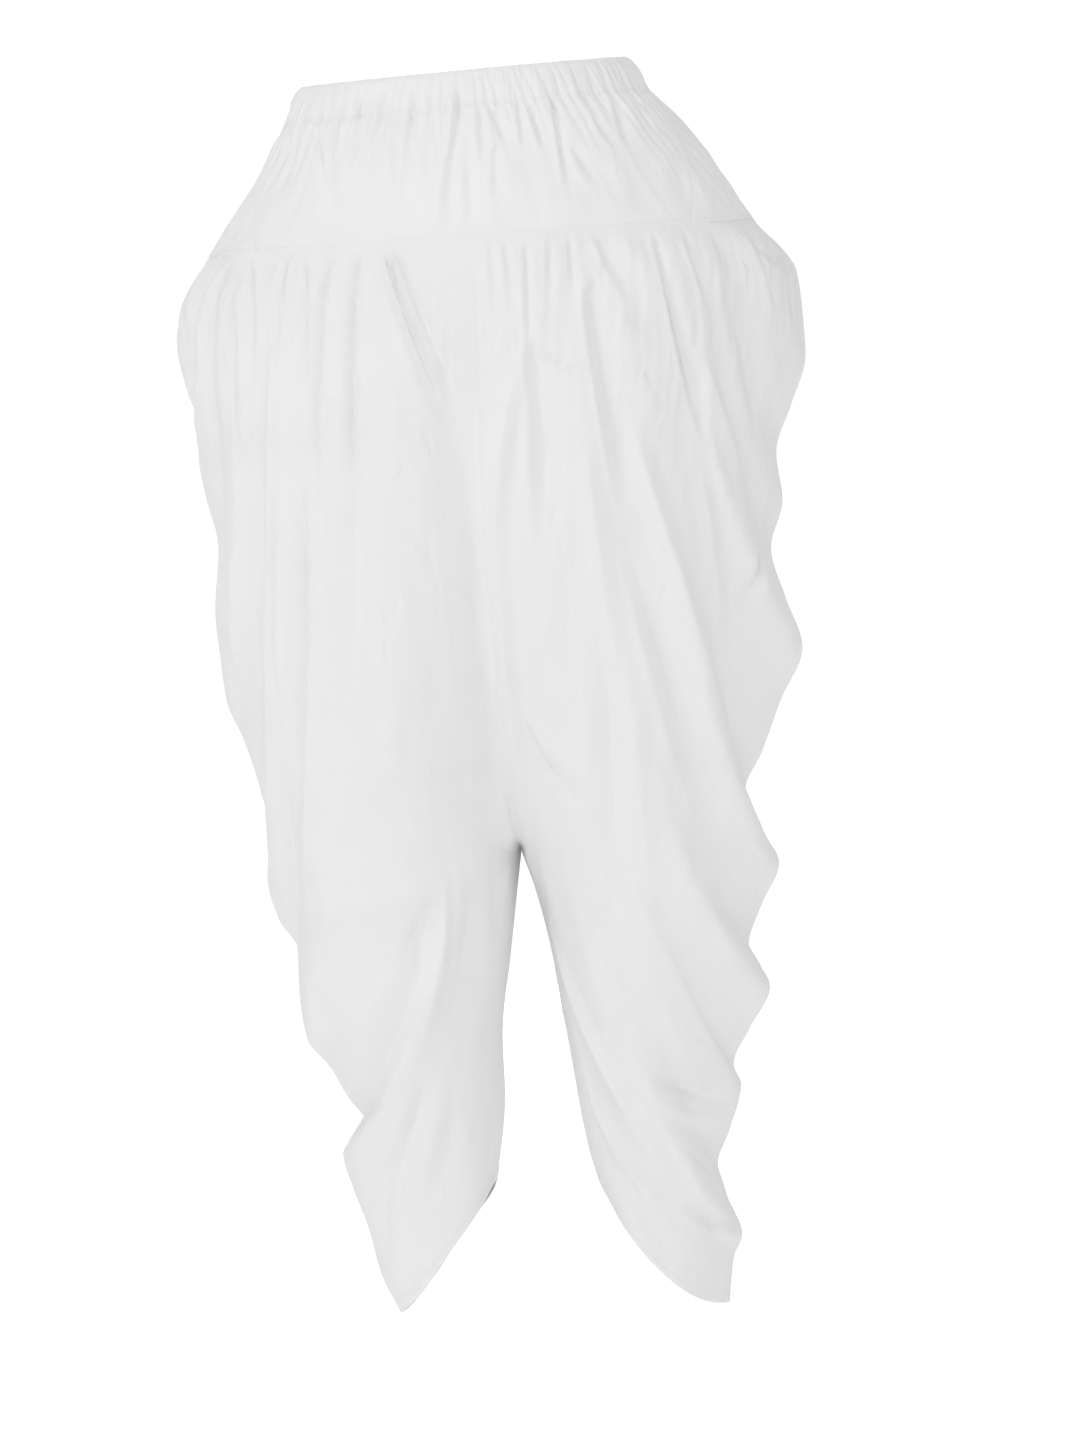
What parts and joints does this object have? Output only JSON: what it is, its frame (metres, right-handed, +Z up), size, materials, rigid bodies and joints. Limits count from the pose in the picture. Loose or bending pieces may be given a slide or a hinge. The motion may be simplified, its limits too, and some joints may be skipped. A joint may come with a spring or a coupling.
{
  "type": "salwar",
  "caption": "Draped dhoti-style salwar in its worn, hollow form, with an elastic casing, a gathered yoke, a low crotch, pleated cowl-sided legs and slanting ankle hems.",
  "frame": {"origin": "middle of the waist opening, at half the height of the casing", "axes": "+Z up along the body, -Y is the garment's front, +X is the wearer's left"},
  "size_m": [0.5002, 0.3041, 1.004],
  "materials": {
    "cloth": "matte plain-woven white cotton"
  },
  "bodies": {
    "root": {"waistband": "cloth", "yoke_back": "cloth", "yoke_front": "cloth", "leg_left": "cloth", "leg_right": "cloth"}
  },
  "joints": []
}
